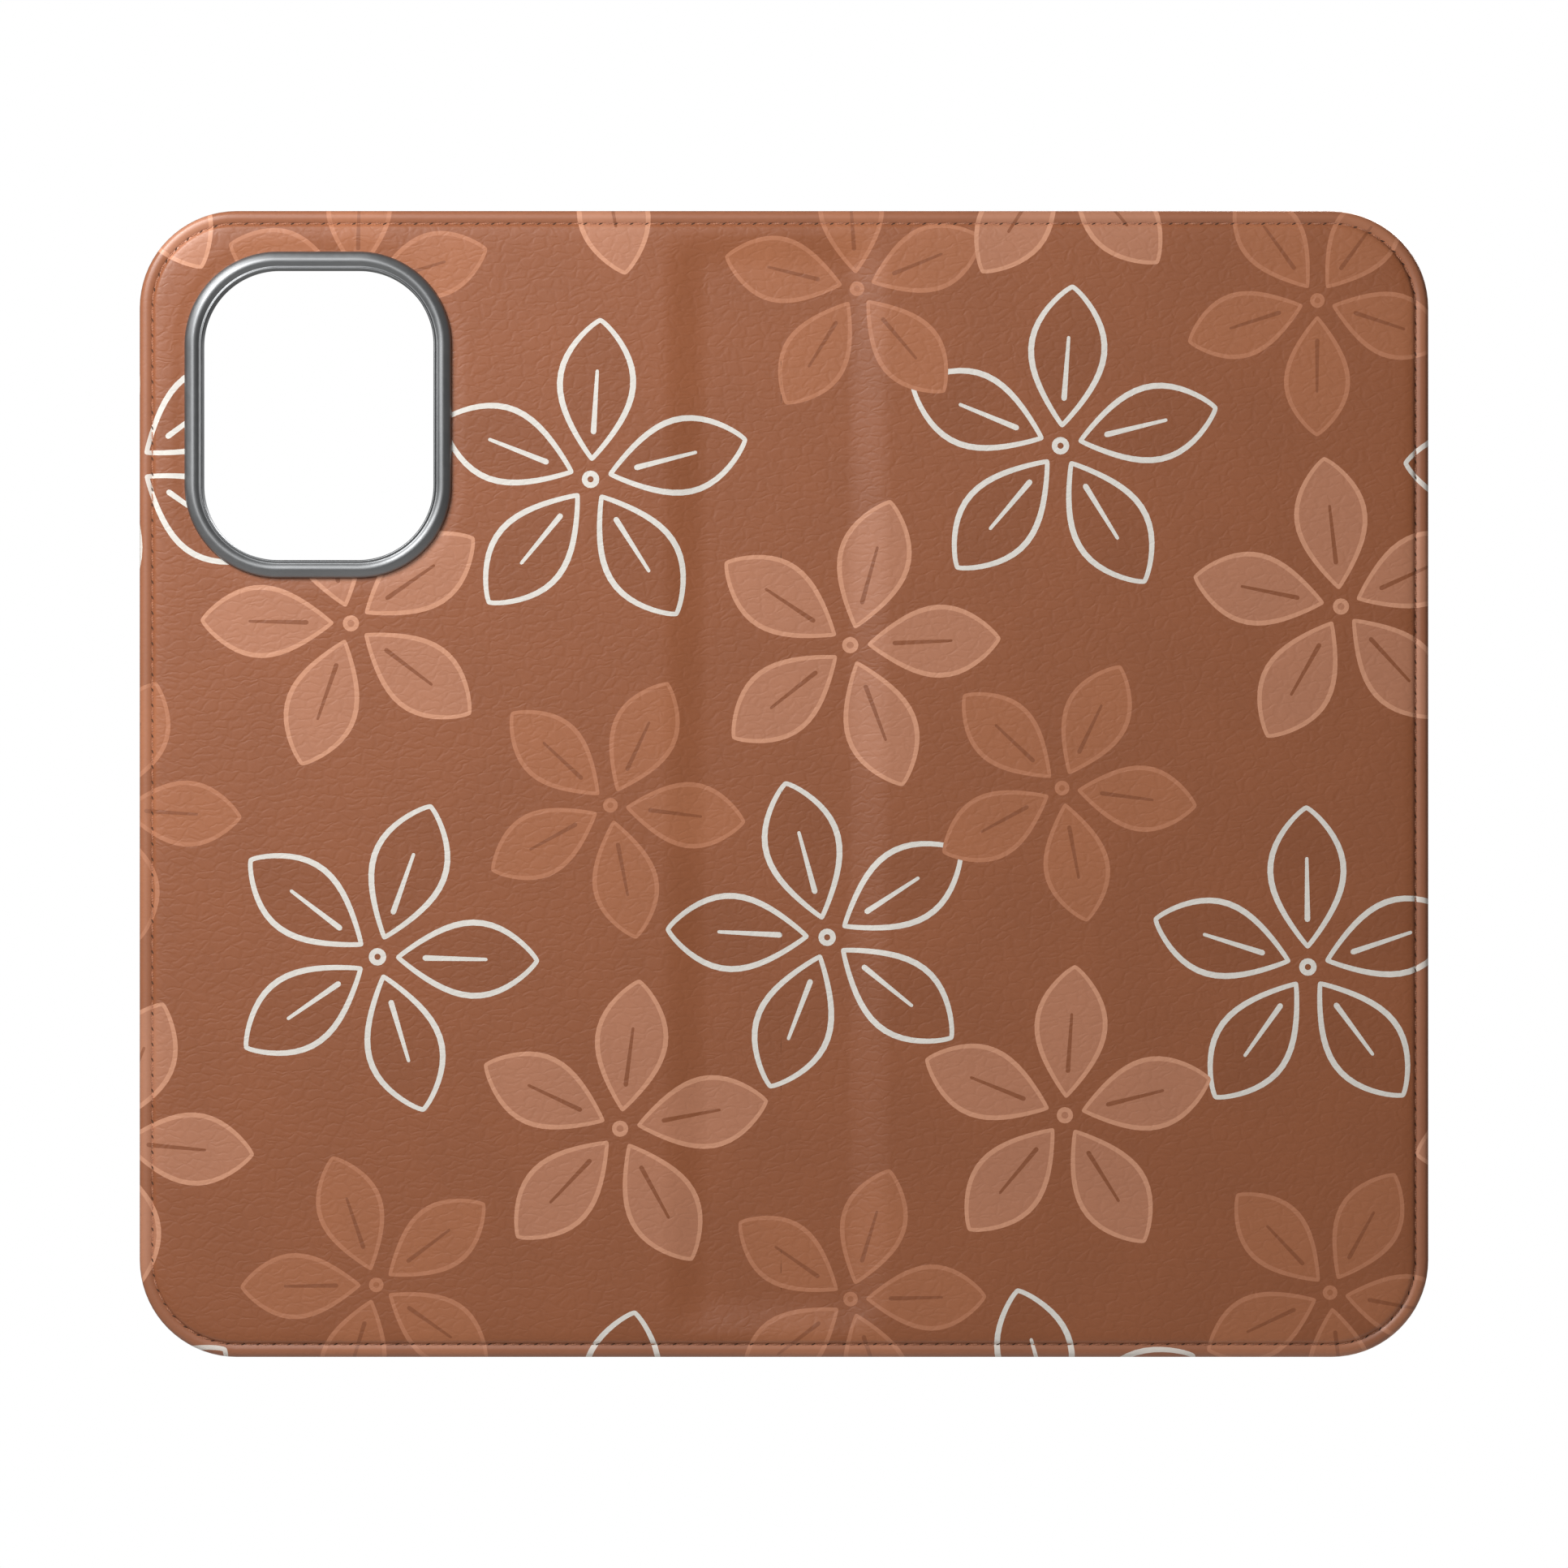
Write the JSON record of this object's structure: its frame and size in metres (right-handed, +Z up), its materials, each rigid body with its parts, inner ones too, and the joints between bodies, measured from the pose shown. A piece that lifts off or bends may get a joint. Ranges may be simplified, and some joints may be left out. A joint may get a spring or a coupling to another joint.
{
  "type": "folio phone case",
  "caption": "Folio phone case: printed leatherette book cover, folding spine, snap-in phone tray, camera window with bezel, and card pockets inside the cover.",
  "frame": {"origin": "centre of the phone seat: the middle of the tray's floor, where the phone's back rests", "axes": "+X from the back panel's free edge towards the front cover, +Y from the printed outside to the phone side, +Z up along the spine"},
  "size_m": [0.178, 0.0138, 0.1582],
  "materials": {
    "printed_leatherette": "printed polyurethane leather, fine pebbled grain",
    "inner_lining": "matt charcoal microfibre lining",
    "pocket_leatherette": "matt charcoal leatherette, fine grain",
    "greyboard": "pressed paper board",
    "adhesive": "double-sided foam tape",
    "tray_plastic": "moulded, satin",
    "bezel_plastic": "glossy dark grey",
    "magnet_steel": "nickel plated",
    "thread": "polyester sewing thread, brown",
    "inner_thread": "polyester sewing thread, charcoal"
  },
  "bodies": {
    "back": {"back_skin": "printed_leatherette", "back_board": "greyboard", "back_lining": "inner_lining", "tray_adhesive": "adhesive", "phone_tray": "tray_plastic", "camera_bezel": "bezel_plastic", "tray_magnets": "magnet_steel", "back_stitching": "thread"},
    "spine": {"spine_skin": "printed_leatherette", "spine_stay": "greyboard", "spine_lining": "inner_lining", "back_fold": "printed_leatherette", "cover_fold": "printed_leatherette", "spine_stitching": "thread"},
    "cover": {"cover_skin": "printed_leatherette", "cover_board": "greyboard", "cover_lining": "inner_lining", "cash_pocket": "pocket_leatherette", "card_slot_back": "pocket_leatherette", "card_slot_middle": "pocket_leatherette", "card_slot_front": "pocket_leatherette", "pocket_stitching": "inner_thread", "cover_magnets": "magnet_steel", "cover_stitching": "thread"}
  },
  "joints": [
    {"name": "spine_hinge", "type": "hinge", "parent": "back", "child": "spine", "pos_m": [0.039, -0.00235, 0], "axis": [0, 0, 1], "range_deg": [-90, 90]},
    {"name": "cover_hinge", "type": "hinge", "parent": "spine", "child": "cover", "pos_m": [0.0592, -0.00235, 0], "axis": [0, 0, 1], "range_deg": [-90, 93]}
  ]
}
